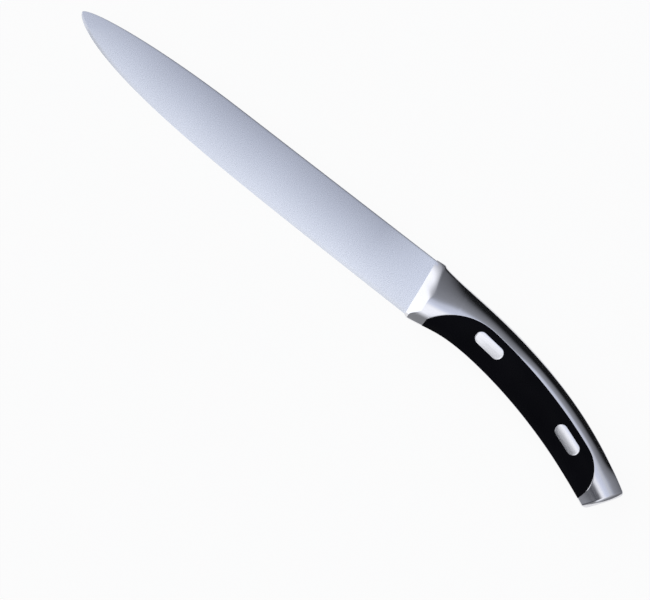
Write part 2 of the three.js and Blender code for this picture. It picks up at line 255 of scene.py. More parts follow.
def handle_point(along, turn, drawn_in=0.0):
    offset, z = section_place(along, turn, drawn_in)
    x, y = beside_centreline(along + offset * pommel_rake(along), offset)
    return Vector((x, y, z))


def turn_at_offset(along, offset):
    return halve_until_zero(0.0, BELLY, lambda turn: section_place(along, turn)[0] - offset)


def tang_turn(along, drawn_in=0.0, gap=0.0):
    """Turn at which the flank comes down to the tang's face, or to a gap over it."""

    def above_tang(turn):
        return section_place(along, turn, drawn_in)[1] - HALF_TANG - gap

    return halve_until_zero(LAND_END, BELLY, above_tang)


def ring_along(along, offset):
    """Section of the raked handle that a point beside the centreline belongs to."""
    ring = along
    for _ in range(5):
        ring = along - offset * pommel_rake(ring)
    return ring


# Outline of the pockets: a straight front, an arc, a straight top and a rear arc, as columns of the mesh
SCALE_TOP = 5.0
SCALE_FRONT = 11.1
FRONT_CUT = math.radians(33)
FRONT_RADIUS = 33.4
FRONT_CENTRE = SCALE_FRONT + FRONT_RADIUS * math.cos(FRONT_CUT)
SCALE_REAR = 124.35
REAR_RADIUS = 18.4
REAR_CENTRE = SCALE_REAR - REAR_RADIUS
REAR_ARC = (math.radians(-25), math.radians(60))
REAR_END_TURN = 1.58
FRONT_END_STEPS = 12
FRONT_STEPS = 46
STRAIGHT_STEPS = 46
REAR_STEPS = 36
REAR_END_STEPS = 12
FIRST_AT_SPINE = 9.0
LAST_AT_SPINE = 126.0


def scale_columns(gap):
    """Columns over a scale: where each leaves the spine, meets the scale's edge and ends at the belly."""
    front = SCALE_FRONT + gap
    front_radius = FRONT_RADIUS - gap
    rear_radius = REAR_RADIUS - gap
    cut = math.acos((FRONT_CENTRE - front) / front_radius)

    def on_front(angle):
        along = FRONT_CENTRE - front_radius * math.cos(angle)
        return along, SCALE_TOP - FRONT_RADIUS + front_radius * math.sin(angle)

    def on_rear(angle):
        along = REAR_CENTRE + rear_radius * math.cos(angle)
        return along, SCALE_TOP - REAR_RADIUS + rear_radius * math.sin(angle)

    def edge_at(along, offset):
        ring = ring_along(along, offset)
        return ring, turn_at_offset(ring, offset)

    def foot_turn(along):
        return tang_turn(along, gap=gap)

    def rear_ring(angle):
        return ring_along(*on_rear(angle))

    def rear_angle(turn_of):
        """Angle at which the rear arc has come down to the turn that a function of the section gives."""

        def left(angle):
            ring = rear_ring(angle)
            return section_place(ring, turn_of(ring))[0] - on_rear(angle)[1]

        return halve_until_zero(*REAR_ARC, left)

    front_turn = foot_turn(front)
    cut_turn = turn_at_offset(front, on_front(cut)[1])
    edges = [(front, mix(front_turn, cut_turn, i / FRONT_END_STEPS)) for i in range(FRONT_END_STEPS)]
    steps = FRONT_STEPS - FRONT_END_STEPS
    edges += [edge_at(*on_front(mix(cut, QUARTER, i / steps))) for i in range(steps)]
    steps = STRAIGHT_STEPS
    edges += [edge_at(mix(FRONT_CENTRE, REAR_CENTRE, i / steps), SCALE_TOP - gap) for i in range(steps)]
    steps = REAR_STEPS - REAR_END_STEPS
    arc_end = rear_angle(lambda ring: REAR_END_TURN)
    edges += [edge_at(*on_rear(mix(QUARTER, arc_end, i / steps))) for i in range(steps)]
    rear_end = rear_ring(rear_angle(foot_turn))
    for i in range(REAR_END_STEPS + 1):
        turn = mix(REAR_END_TURN, foot_turn(rear_end), i / REAR_END_STEPS)
        edges.append((rear_ring(rear_angle(lambda ring: turn)), turn))
    columns = []
    for step, (edge, edge_turn) in enumerate(edges):
        spine = below = edge
        if step < FRONT_STEPS:
            spine = mix(edge, FIRST_AT_SPINE, (1 - step / FRONT_STEPS) ** 2)
            below = mix(front, FRONT_CENTRE, step / FRONT_STEPS)
        elif step > FRONT_STEPS + STRAIGHT_STEPS:
            share = (step - FRONT_STEPS - STRAIGHT_STEPS) / REAR_STEPS
            spine = mix(edge, LAST_AT_SPINE, share ** 2)
            below = mix(REAR_CENTRE, rear_end, share)
        columns.append((spine, edge, edge_turn, below, foot_turn(below)))
    return columns


def rim_is_soft(column, columns):
    """Whether the rim is softened at a column: it stays sharp at both ends of a scale."""
    return FRONT_END_STEPS + 1 < column < len(columns) - REAR_END_STEPS - 2


# Shoulder of the bolster, from the ridge forward and down to the blade's face
COLLAR_LENGTH = 4.6
COLLAR_LIP = 0.26
BOLSTER_FACE = 0.1
SHOULDER_BEHIND = 3.3
SHOULDER_PULL = 4.2
SHOULDER_LEAST = 0.08
SHOULDER_FULL_HEIGHT = 6.6
RIDGE_FORWARD = 4.2
RIDGE_FORWARD_TURNS = (1.38, 1.64)
RIDGE_BACK = 1.2
SHARP_BELOW = (10.6, 15.5)
SLOPE_STEP = 0.5
LEAST_CLIMB = 0.01

# Grid of the frame's left half: columns run from the blade to the pommel, rows from the spine to the belly
SHOULDER_STEPS = 22
NECK_STEPS = 16
POMMEL_STEPS = 8
ROUND_STEPS = 8
BAND_ROWS = 44
BELLY_ROWS = 5
EDGE_PULL = 4
pocket_columns = scale_columns(0.0)
first_scale_column = SHOULDER_STEPS + NECK_STEPS
last_scale_column = first_scale_column + len(pocket_columns) - 1
frame_columns = last_scale_column + POMMEL_STEPS + ROUND_STEPS
frame_rows = BAND_ROWS + 2 + BELLY_ROWS


def solid_turn(row, along, drawn_in=0.0):
    """Turn of a row where the frame is solid steel from spine to belly."""
    tang = tang_turn(along, drawn_in)
    if row <= BAND_ROWS:
        return tang * row / BAND_ROWS
    return mix(tang, BELLY, max(0, row - BAND_ROWS - 2) / BELLY_ROWS)


def solid_point(row, along, drawn_in=0.0):
    return handle_point(along, solid_turn(row, along, drawn_in), drawn_in)


def ridge_along(row):
    """Where a row of the handle's side ends at the ridge: parallel to the heel, then forward below."""
    along = COLLAR_LENGTH
    for _ in range(6):
        height = solid_point(row, along).y
        back = RIDGE_BACK * (1 - smooth_step(height, *SHARP_BELOW))
        forward = RIDGE_FORWARD * smooth_step(solid_turn(row, along), *RIDGE_FORWARD_TURNS)
        along = BOLSTER_FACE + COLLAR_LENGTH + back - forward + heel_line(height)
    return along


ridges = [ridge_along(row) for row in range(frame_rows + 1)]


def shoulder_curve(row):
    """Start, bend and end of the rounded shoulder on a row, and where along the handle it ends."""
    ridge = solid_point(row, ridges[row])
    y = min(BLADE_HEIGHT, max(0.0, ridge.y))
    foot = Vector((y, ground_face(0, y)))
    if y != ridge.y:
        foot.y = min(ridge.z, foot.y)
    out = Vector((ridge.y, ridge.z)) - foot
    width = SHOULDER_LEAST + (1 - SHOULDER_LEAST) * (ridge.z / SHOULDER_FULL_HEIGHT) ** 2
    width = min(1.0, width) * smooth_step(ridge.y, *SHARP_BELOW)
    behind = ridges[row] + SHOULDER_BEHIND * width
    end = solid_point(row, behind)
    slope = (end - solid_point(row, behind + SLOPE_STEP)) / SLOPE_STEP
    bend = end + slope * SHOULDER_PULL * width
    room = bend.x - BOLSTER_FACE - heel_line(foot.x)
    lip = max(COLLAR_LIP, 1 - STEEPEST * room / max(LEAST_CLIMB, out.y))
    y, z = foot + out * lip
    start = Vector((BOLSTER_FACE + heel_line(y), y, z))
    return start, bend, end, behind


shoulders = [shoulder_curve(row) for row in range(frame_rows + 1)]


def frame_point(column, row):
    """Place of a grid corner on the frame's left half."""
    start, bend, end, neck_start = shoulders[row]
    if column < SHOULDER_STEPS:
        share = column / SHOULDER_STEPS
        return start.lerp(bend, share).lerp(bend.lerp(end, share), share)
    front_spine, front_edge = pocket_columns[0][:2]
    rear_spine, rear_edge = pocket_columns[-1][:2]
    down = min(row, BAND_ROWS) / BAND_ROWS
    pulled = down ** EDGE_PULL
    if column < first_scale_column:
        neck_end = mix(front_spine, front_edge, pulled)
        return solid_point(row, mix(neck_start, neck_end, (column - SHOULDER_STEPS) / NECK_STEPS))
    if column <= last_scale_column:
        spine, edge, edge_turn, below, below_turn = pocket_columns[column - first_scale_column]
        if row <= BAND_ROWS:
            return handle_point(mix(spine, edge, pulled), edge_turn * down)
        if row == BAND_ROWS + 1:
            above = handle_point(edge, edge_turn)
            return Vector((above.x, above.y, HALF_TANG))
        return handle_point(below, mix(below_turn, BELLY, (row - BAND_ROWS - 2) / BELLY_ROWS))
    round_start = HANDLE_LENGTH - POMMEL_ROUND
    step = column - last_scale_column
    if step <= POMMEL_STEPS:
        pommel_start = mix(rear_spine, rear_edge, pulled)
        return solid_point(row, mix(pommel_start, round_start, step / POMMEL_STEPS))
    angle = QUARTER * (step - POMMEL_STEPS) / ROUND_STEPS
    along = round_start + POMMEL_ROUND * math.sin(angle)
    return solid_point(row, along, POMMEL_ROUND * (1 - math.cos(angle)))


WELD_DISTANCE = 0.0005
CREASE = math.radians(32)


def lay_grid(shape, columns, rows, place):
    """A grid of quads whose corners go to the places that a function of column and row gives."""
    bmesh.ops.create_grid(shape, x_segments=columns, y_segments=rows, size=1.0)
    for corner in shape.verts:
        column = round((corner.co.x + 1) / 2 * columns)
        row = round((corner.co.y + 1) / 2 * rows)
        place(corner, column, row)


def close_halves(shape):
    """Welds a left half's seams, mirrors it to the right and fills the open ends."""
    bmesh.ops.remove_doubles(shape, verts=shape.verts, dist=WELD_DISTANCE)
    everything = shape.verts[:] + shape.edges[:] + shape.faces[:]
    bmesh.ops.mirror(shape, geom=everything, axis="Z", merge_dist=WELD_DISTANCE)
    open_rims = [edge for edge in shape.edges if edge.is_boundary]
    bmesh.ops.holes_fill(shape, edges=open_rims, sides=0)
    bmesh.ops.recalc_face_normals(shape, faces=shape.faces)


def soften(shape, edges, radius):
    bmesh.ops.bevel(
        shape,
        geom=edges,
        offset=radius,
        segments=3,
        profile=0.5,
        affect="EDGES",
        material=-1,
        clamp_overlap=True,
    )


def unbend(point):
    """A point of the knife, in millimetres along, beside and out of the handle as if it had no bend."""
    below = BEND_RADIUS - CENTRELINE + point.y
    beyond = max(0.0, point.x - BEND_START)
    along = min(point.x, BEND_START) + math.atan2(beyond, below) * BEND_RADIUS
    return Vector((along, math.hypot(beyond, below) - BEND_RADIUS, point.z))


def finish_piece(name, shape, material, node, sharp=CREASE):
    """Moves a piece drawn about the heel of the blade to its place and lets it stand for its CAD node."""
    bmesh.ops.recalc_face_normals(shape, faces=shape.faces)
    lay = shape.verts.layers.float_vector.new("lay")
    for corner in shape.verts:
        corner.co.z = max(-HALF_THICKNESS, min(HALF_THICKNESS, corner.co.z))
        corner[lay] = unbend(corner.co) * MILLIMETRE
    bmesh.ops.transform(shape, matrix=knife_to_row, verts=shape.verts)
    mesh = bpy.data.meshes.new(name)
    shape.to_mesh(mesh)
    shape.free()
    mesh.shade_smooth()
    mesh.set_sharp_from_angle(angle=sharp)
    mesh.materials.append(material)
    piece = bpy.data.objects.new(name, mesh)
    bpy.context.scene.collection.objects.link(piece)
    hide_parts(node)
    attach(piece, "root")
    return piece


def add_node(tree, kind, inputs, **settings):
    node = tree.nodes.new(kind)
    for setting, value in settings.items():
        setattr(node, setting, value)
    for socket, value in inputs.items():
        if isinstance(value, bpy.types.NodeSocket):
            tree.links.new(value, node.inputs[socket])
        else:
            node.inputs[socket].default_value = value
    return node


def ramp_node(tree, value, stops):
    node = add_node(tree, "ShaderNodeValToRGB", {"Fac": value})
    elements = node.color_ramp.elements
    while len(elements) < len(stops):
        elements.new(0.5)
    for element, (position, colour) in zip(elements, stops):
        element.position = position
        element.color = (*colour, 1.0)
    return node.outputs["Color"]


def range_node(tree, value, low, high, from_low=0.3, from_high=0.7):
    bounds = {"From Min": from_low, "From Max": from_high, "To Min": low, "To Max": high}
    return add_node(tree, "ShaderNodeMapRange", {"Value": value, **bounds}).outputs["Result"]


def noise_node(tree, vector, scale, detail):
    settings = {"Vector": vector, "Scale": scale, "Detail": detail, "Roughness": 0.55}
    return add_node(tree, "ShaderNodeTexNoise", settings).outputs["Fac"]


def new_material(name):
    """A material with its node tree, its shader and the unbent coordinates of the piece."""
    material = bpy.data.materials.new(name)
    material.use_nodes = True
    tree = material.node_tree
    lay = add_node(tree, "ShaderNodeAttribute", {}, attribute_name="lay")
    return material, tree, tree.nodes["Principled BSDF"], lay.outputs["Vector"]


# Grinding belts and polishing wheels leave fine lines one way and broad soft clouds where the pressure
# changed. All the knife's steel shares this effect, each piece with its own direction and fineness.
polish = bpy.data.node_groups.new("Polishing marks", "ShaderNodeTree")
polish.interface.new_socket("Vector", in_out="INPUT", socket_type="NodeSocketVector")
polish.interface.new_socket("Line Scale", in_out="INPUT", socket_type="NodeSocketVector")
polish.interface.new_socket("Cloud Scale", in_out="INPUT", socket_type="NodeSocketFloat")
polish.interface.new_socket("Lines", in_out="OUTPUT", socket_type="NodeSocketFloat")
polish.interface.new_socket("Clouds", in_out="OUTPUT", socket_type="NodeSocketFloat")
given = add_node(polish, "NodeGroupInput", {}).outputs
stretched = add_node(
    polish,
    "ShaderNodeVectorMath",
    {0: given["Vector"], 1: given["Line Scale"]},
    operation="MULTIPLY",
)
lines = noise_node(polish, stretched.outputs["Vector"], scale=1.0, detail=3.0)
clouds = noise_node(polish, given["Vector"], scale=given["Cloud Scale"], detail=2.0)
add_node(polish, "NodeGroupOutput", {"Lines": lines, "Clouds": clouds})


def steel_material(name, line_scale, cloud_scale, roughness):
    """Steel whose roughness and relief follow the polishing lines, with its clouds left for its colour."""
    material, tree, shader, lay = new_material(name)
    settings = {"Vector": lay, "Line Scale": line_scale, "Cloud Scale": cloud_scale}
    marks = add_node(tree, "ShaderNodeGroup", settings, node_tree=polish)
    tree.links.new(range_node(tree, marks.outputs["Lines"], *roughness), shader.inputs["Roughness"])
    relief = {"Height": marks.outputs["Lines"], "Strength": 0.35, "Distance": 0.000004}
    bump = add_node(tree, "ShaderNodeBump", relief)
    tree.links.new(bump.outputs["Normal"], shader.inputs["Normal"])
    shader.inputs["Metallic"].default_value = 1.0
    return material, tree, shader, lay, marks.outputs["Clouds"]


FRAME_TONES = ((0.3, (0.71, 0.71, 0.74)), (0.7, (0.77, 0.77, 0.80)))
POCKET_SOFTENING = 0.12

frame_steel, tree, shader, _, clouds = steel_material(
    "Polished frame steel",
    line_scale=(60.0, 2600.0, 2600.0),
    cloud_scale=45.0,
    roughness=(0.09, 0.15),
)
tree.links.new(ramp_node(tree, clouds, FRAME_TONES), shader.inputs["Base Color"])

frame_shape = bmesh.new()
pocket_edge = frame_shape.verts.layers.int.new("pocket edge")


def place_on_frame(corner, column, row):
    corner.co = frame_point(column, row)
    corner[pocket_edge] = row == BAND_ROWS and rim_is_soft(column - first_scale_column, pocket_columns)


lay_grid(frame_shape, frame_columns, frame_rows, place_on_frame)
close_halves(frame_shape)
rims = [edge for edge in frame_shape.edges if all(end[pocket_edge] for end in edge.verts)]
soften(frame_shape, rims, POCKET_SOFTENING)
handle_frame = finish_piece("handle_frame_cast", frame_shape, frame_steel, "handle_frame")

# Blade: rolled stainless steel, ground to a slim, slightly rounded taper from the spine to the edge and
# welded to the bolster. Fine grinding lines across its height scatter a part of the light that falls on
# it, and the edge is sharpened with a narrow bevel.
TIP_CURVE = 85.0
TIP_ROUNDING = 0.6
EDGE_SLOPE = 0.01
BELLY_SHARPNESS = 4.6
CUTTING_EDGE = 0.12
POINT_THICKNESS = 0.35
POINT_TAPER = 0.06
GRIND_BULGE = 0.35
SPINE_ROUND = 0.6
ROUND_OF_THICKNESS = 0.6
ROUND_OF_HEIGHT = 0.2
BEVEL_OF_HEIGHT = 1 / 3
HEEL_OVERLAP = 0.12
BLADE_COLUMNS = 96
SPINE_STEPS = 5
FACE_STEPS = 26
FACE_START = 1 + SPINE_STEPS
BLADE_ROWS = FACE_START + FACE_STEPS + 2
BLADE_CREASE = math.radians(24)
# Painted shade on the blade: its colour runs from dark grey at the spine to near white at the edge, and
# fades to one even tone near the heel.
BLADE_SHADE_AND_CLOUD_TONES = ((0.05, (0.47, 0.485, 0.535)), (0.95, (0.91, 0.94, 1.0)))
HALF_FACE = 13.5 * MILLIMETRE
EDGE_TONE = 0.8
HEEL_FADE = (-30 * MILLIMETRE, -4 * MILLIMETRE)
HEEL_TONE = 0.62
CLOUD_SHARE = 0.25


def spine_height(x):
    into = max(0.0, TIP_CURVE - BLADE_LENGTH - x) / TIP_CURVE
    return BLADE_HEIGHT - TIP_DROP * (1 - (1 - into ** 2) ** TIP_ROUNDING)


def edge_height(x):
    belly = 1 - (1 - max(0.0, -x / BLADE_LENGTH) ** BELLY_SHARPNESS) ** TIP_ROUNDING
    return -x * EDGE_SLOPE + (TIP_HEIGHT - BLADE_LENGTH * EDGE_SLOPE) * belly


def blade_face(x, y, spine, edge):
    """Half the blade's thickness on its ground face."""
    share = (y - edge) / (spine - edge)
    bulge = GRIND_BULGE * 4 * share * (1 - share) * min(1.0, (spine - edge) / BLADE_HEIGHT) ** 2
    at_point = (POINT_THICKNESS + (x + BLADE_LENGTH) * POINT_TAPER) / 2
    return max(CUTTING_EDGE / 2, min(ground_face(x, y) + bulge, at_point))


def place_on_blade(corner, column, row):
    angle = math.asin(1 - POINT_BLUNT / BLADE_LENGTH) * (1 - column / BLADE_COLUMNS)
    station = -BLADE_LENGTH * math.sin(angle)
    spine = spine_height(station)
    edge = edge_height(station)
    height = spine - edge
    lean = (1 - math.sin(angle)) ** 2
    thickness = blade_face(station, spine, spine, edge)
    round_off = min(SPINE_ROUND, thickness * ROUND_OF_THICKNESS, height * ROUND_OF_HEIGHT)
    bevel = min(BEVEL_HEIGHT, height * BEVEL_OF_HEIGHT)
    if row == 0:
        y, z = spine, 0.0
    elif row <= FACE_START:
        turn = QUARTER * (row - 1) / SPINE_STEPS
        y = spine - round_off * (1 - math.cos(turn))
        z = blade_face(station, spine - round_off, spine, edge) - round_off * (1 - math.sin(turn))
    elif row <= FACE_START + FACE_STEPS:
        y = mix(spine - round_off, edge + bevel, (row - FACE_START) / FACE_STEPS)
        z = blade_face(station + heel_line(y) * lean, y, spine, edge)
    else:
        y = edge
        z = CUTTING_EDGE / 2 if row < BLADE_ROWS else 0.0
    overlap = HEEL_OVERLAP if column == BLADE_COLUMNS else 0.0
    corner.co = station + heel_line(y) * lean + overlap, y, z


def math_node(tree, operation, *values, **settings):
    inputs = dict(enumerate(values))
    return add_node(tree, "ShaderNodeMath", inputs, operation=operation, **settings).outputs["Value"]


blade_steel, tree, shader, lay, clouds = steel_material(
    "Satin blade steel with painted shade",
    line_scale=(3200.0, 45.0, 45.0),
    cloud_scale=14.0,
    roughness=(0.21, 0.29),
)
# Painted shade: the base colour is darker towards the spine and lighter towards the edge, evened out to one
# tone between 30 and 4 mm before the heel, with the polishing clouds added on top.
beside = add_node(tree, "ShaderNodeSeparateXYZ", {"Vector": lay}).outputs
painted_shade_by_height = range_node(tree, beside["Y"], 0.0, EDGE_TONE, HALF_FACE, -HALF_FACE)
by_heel = range_node(tree, beside["X"], 0.0, 1.0, *HEEL_FADE)
painted_shade_with_heel_tone = add_node(tree, "ShaderNodeMix", {"Factor": by_heel, "A": painted_shade_by_height, "B": HEEL_TONE}).outputs["Result"]
painted_shade_and_clouds = math_node(tree, "MULTIPLY_ADD", clouds, CLOUD_SHARE, painted_shade_with_heel_tone)
tree.links.new(ramp_node(tree, painted_shade_and_clouds, BLADE_SHADE_AND_CLOUD_TONES), shader.inputs["Base Color"])
shader.inputs["Metallic"].default_value = 0.7

blade_shape = bmesh.new()
lay_grid(blade_shape, BLADE_COLUMNS, BLADE_ROWS, place_on_blade)
close_halves(blade_shape)
finish_piece("blade_ground", blade_shape, blade_steel, "blade", sharp=BLADE_CREASE)

# Scales: two mirror-image mouldings of black glass-filled nylon, bedded in the frame's pockets. Their
# outer faces carry on the frame's curve, and their mould finish is a fine, even satin.
SCALE_GAP = 0.06
SCALE_ROWS = 34
SCALE_SOFTENING = 0.15
SCALE_TONES = ((0.3, (0.0012, 0.0012, 0.0026)), (0.7, (0.0024, 0.0024, 0.0042)))
moulded_columns = scale_columns(SCALE_GAP)

scale_plastic, tree, shader, lay = new_material("Black moulded nylon")
grain = noise_node(tree, lay, scale=2600.0, detail=2.0)
mottle = noise_node(tree, lay, scale=60.0, detail=2.0)
tree.links.new(ramp_node(tree, mottle, SCALE_TONES), shader.inputs["Base Color"])
tree.links.new(range_node(tree, grain, low=0.38, high=0.52), shader.inputs["Roughness"])
relief = add_node(tree, "ShaderNodeBump", {"Height": grain, "Strength": 0.4, "Distance": 0.00002})
tree.links.new(relief.outputs["Normal"], shader.inputs["Normal"])
shader.inputs["Specular IOR Level"].default_value = 0.05

# Sizes of the rivets, for their holes and the recesses of their heads
RIVET_LENGTH = 15.8
RIVET_WIDTH = 6.0
RIVET_HEAD = 2.2
RIVET_OFFSET = -1.2
RIVET_GAP = 0.05
SHANK_RADIUS = 2.5
HOLE_LENGTH = 24.0
SHANK_SIDES = 32
HEAD_SIDES = 48
rivets_along = {"front": 41.2, "rear": 97.4}


def rivet_place(along):
    x, y = beside_centreline(along, RIVET_OFFSET)
    return Matrix.Translation((x, y, 0.0)) @ Matrix.Rotation(-handle_turn(along), 4, "Z")


def oblong_block(shape, radius, low, high):
    """A block with round ends, as the rivets' heads are, between two heights."""
    made = bmesh.ops.create_circle(
        shape,
        cap_ends=True,
        radius=radius,
        segments=HEAD_SIDES,
        matrix=Matrix.Rotation(math.pi / HEAD_SIDES, 4, "Z"),
    )["verts"]
    for corner in made:
        corner.co.x += math.copysign((RIVET_LENGTH - RIVET_WIDTH) / 2, corner.co.x)
        corner.co.z = low
    face = made[0].link_faces[0]
    raised = bmesh.ops.extrude_face_region(shape, geom=[face], use_keep_orig=True)["geom"]
    top = [part for part in raised if isinstance(part, bmesh.types.BMVert)]
    for corner in top:
        corner.co.z = high
    return made + top


def round_bar(shape, radius, length, middle=0.0):
    """A round bar along Z, centred at a height."""
    return bmesh.ops.create_cone(
        shape,
        cap_ends=True,
        segments=SHANK_SIDES,
        radius1=radius,
        radius2=radius,
        depth=length,
        matrix=Matrix.Translation((0, 0, middle)),
    )["verts"]


def cut_out(piece, holes):
    """Takes closed shapes, clear of each other, out of a piece."""
    bmesh.ops.recalc_face_normals(holes, faces=holes.faces)
    mesh = bpy.data.meshes.new("rivet holes")
    holes.to_mesh(mesh)
    holes.free()
    mesh.materials.append(piece.data.materials[0])
    cutter = bpy.data.objects.new("rivet holes", mesh)
    bpy.context.scene.collection.objects.link(cutter)
    cut = piece.modifiers.new("rivet holes", "BOOLEAN")
    cut.operation = "DIFFERENCE"
    cut.solver = "EXACT"
    cut.object = cutter
    drilled = bpy.data.meshes.new_from_object(piece.evaluated_get(bpy.context.evaluated_depsgraph_get()))
    piece.modifiers.clear()
    piece.data = drilled
    piece.data.set_sharp_from_angle(angle=CREASE)
    bpy.data.objects.remove(cutter)


def drill(piece, side):
    """Takes the rivets' shanks out of a piece, and then the heads on one side of it."""
    shanks = bmesh.new()
    for along in rivets_along.values():
        bar = round_bar(shanks, SHANK_RADIUS + RIVET_GAP, HOLE_LENGTH)
        bmesh.ops.transform(shanks, matrix=knife_to_row @ rivet_place(along), verts=bar)
    cut_out(piece, shanks)
    if not side:
        return
    heads = bmesh.new()
    seat = HALF_THICKNESS - RIVET_HEAD - RIVET_GAP
    for along in rivets_along.values():
        block = oblong_block(heads, RIVET_WIDTH / 2 + RIVET_GAP, seat, HOLE_LENGTH / 2)
        bmesh.ops.scale(heads, vec=(1, 1, side), verts=block)
        bmesh.ops.transform(heads, matrix=knife_to_row @ rivet_place(along), verts=block)
    cut_out(piece, heads)


drill(handle_frame, 0)
for side, name in ((1, "left_scale"), (-1, "right_scale")):
    scale_shape = bmesh.new()
    rim_mark = scale_shape.verts.layers.int.new("rim")

    def place_on_scale(corner, column, row):
        _, edge, edge_turn, below, below_turn = moulded_columns[column]
        share = row / SCALE_ROWS
        corner.co = handle_point(mix(edge, below, share), mix(edge_turn, below_turn, share))
        corner[rim_mark] = row == 0 and rim_is_soft(column, moulded_columns)

    lay_grid(scale_shape, len(moulded_columns) - 1, SCALE_ROWS, place_on_scale)
    outside = scale_shape.faces[:]
    bedded = bmesh.ops.extrude_face_region(scale_shape, geom=outside, use_keep_orig=True)["geom"]
    for corner in bedded:
        if isinstance(corner, bmesh.types.BMVert):
            corner.co.z = HALF_TANG + SCALE_GAP
            corner[rim_mark] = 0
    bmesh.ops.remove_doubles(scale_shape, verts=scale_shape.verts, dist=WELD_DISTANCE)
    rims = [edge for edge in scale_shape.edges if all(end[rim_mark] for end in edge.verts)]
    soften(scale_shape, rims, SCALE_SOFTENING)
    bmesh.ops.scale(scale_shape, vec=(1, 1, side), verts=scale_shape.verts)
    scale = finish_piece(name + "_moulding", scale_shape, scale_plastic, name)
    drill(scale, side)

# Rivets: each is a stainless head with a tube and, from the other side, a head with a pin that is pressed
# into it. The oblong heads sit in recesses of the scales and are ground and polished flush with them.
HEAD_SOFTENING = 0.1
PIN_RADIUS = 1.5
SHANK_END = 4.7
SHANK_SET_IN = 0.1
SHANK_TOP = HALF_THICKNESS - RIVET_HEAD + SHANK_SET_IN
STRIP_WIDTH = 0.5
STRIPS_ACROSS = 5
STRIP_LENGTH = 1.2
STRIPS_ALONG = 6
CUT_TOLERANCE = 0.0001
HEAD_TOP = HALF_THICKNESS - 0.001
RIM_ANGLE = 1.0
RIVET_TONES = ((0.3, (0.84, 0.84, 0.86)), (0.7, (0.90, 0.90, 0.92)))

rivet_steel, tree, shader, _, clouds = steel_material(
    "Polished rivet steel",
    line_scale=(70.0, 2200.0, 2200.0),
    cloud_scale=120.0,
    roughness=(0.16, 0.24),
)
tree.links.new(ramp_node(tree, clouds, RIVET_TONES), shader.inputs["Base Color"])


def make_head(shape, along):
    """A rivet's head, cut into strips so that its face can follow the side of the handle."""
    oblong_block(shape, RIVET_WIDTH / 2, HALF_THICKNESS - RIVET_HEAD, HALF_THICKNESS)
    cuts = [((0, STRIP_WIDTH * i, 0), (0, 1, 0)) for i in range(-STRIPS_ACROSS, STRIPS_ACROSS + 1)]
    cuts += [((STRIP_LENGTH * i, 0, 0), (1, 0, 0)) for i in range(-STRIPS_ALONG, STRIPS_ALONG + 1)]
    for point, normal in cuts:
        everything = shape.verts[:] + shape.edges[:] + shape.faces[:]
        bmesh.ops.bisect_plane(shape, geom=everything, dist=CUT_TOLERANCE, plane_co=point, plane_no=normal)
    rims = []
    for edge in shape.edges:
        level = all(end.co.z > HEAD_TOP for end in edge.verts)
        if level and edge.calc_face_angle(0.0) > RIM_ANGLE:
            rims.append(edge)
    for corner in shape.verts:
        if corner.co.z > HEAD_TOP:
            at, offset, _ = unbend(rivet_place(along) @ corner.co)
            corner.co.z = section_place(at, turn_at_offset(at, offset))[1]
    soften(shape, rims, HEAD_SOFTENING)


for end, along in rivets_along.items():
    for side, half in ((1, "socket"), (-1, "stud")):
        rivet = bmesh.new()
        make_head(rivet, along)
        if side > 0:
            inner, outer = PIN_RADIUS + RIVET_GAP, SHANK_RADIUS
            corners = ((inner, -SHANK_END), (outer, -SHANK_END), (outer, SHANK_TOP), (inner, SHANK_TOP))
            profile = [rivet.verts.new((radius, 0.0, z)) for radius, z in corners]
            profile += [rivet.edges.new((profile[i - 1], profile[i])) for i in range(4)]
            whole_turn = {"axis": (0, 0, 1), "angle": 2 * math.pi, "steps": SHANK_SIDES, "use_merge": True}
            bmesh.ops.spin(rivet, geom=profile, **whole_turn)
        else:
            length = SHANK_TOP + SHANK_END
            round_bar(rivet, PIN_RADIUS, length, SHANK_TOP - length / 2)
        bmesh.ops.scale(rivet, vec=(1, 1, side), verts=rivet.verts)
        bmesh.ops.transform(rivet, matrix=rivet_place(along), verts=rivet.verts)
        node = end + "_rivet_" + half
        finish_piece(node + "_polished", rivet, rivet_steel, node)

# Studio: a white sweep under the knife, broad white panels in front and at the left with a dark gap
# between them, a grey ceiling, a dark wall behind the spine and a darker one at the right, and the
# camera straight above the knife.
FLOOR_REACH = 6.0
FLOOR_WHITE = (0.92, 0.92, 0.92, 1.0)
GLOW_SHARE = 0.93
GAP_GREY = (0.05, 0.053, 0.065, 1.0)

floor_shape = bmesh.new()
bmesh.ops.create_grid(floor_shape, x_segments=1, y_segments=1, size=FLOOR_REACH)
floor_mesh = bpy.data.meshes.new("floor")
floor_shape.to_mesh(floor_mesh)
floor_shape.free()
floor = bpy.data.objects.new("floor", floor_mesh)
bpy.context.scene.collection.objects.link(floor)
sweep = bpy.data.materials.new("White sweep")
sweep.use_nodes = True
tree = sweep.node_tree
shader = tree.nodes["Principled BSDF"]
shader.inputs["Base Color"].default_value = FLOOR_WHITE
shader.inputs["Roughness"].default_value = 0.9
glow = add_node(tree, "ShaderNodeEmission", {"Color": (1.0, 1.0, 1.0, 1.0), "Strength": 1.0})
rays = add_node(tree, "ShaderNodeLightPath", {}).outputs
direct = math_node(tree, "ADD", rays["Is Camera Ray"], rays["Is Glossy Ray"])
seen = math_node(tree, "ADD", direct, rays["Is Transmission Ray"], use_clamp=True)
share = math_node(tree, "MULTIPLY", seen, GLOW_SHARE)
surfaces = {"Fac": share, 1: shader.outputs["BSDF"], 2: glow.outputs["Emission"]}
blend = add_node(tree, "ShaderNodeMixShader", surfaces)
tree.links.new(blend.outputs["Shader"], tree.nodes["Material Output"].inputs["Surface"])
floor_mesh.materials.append(sweep)

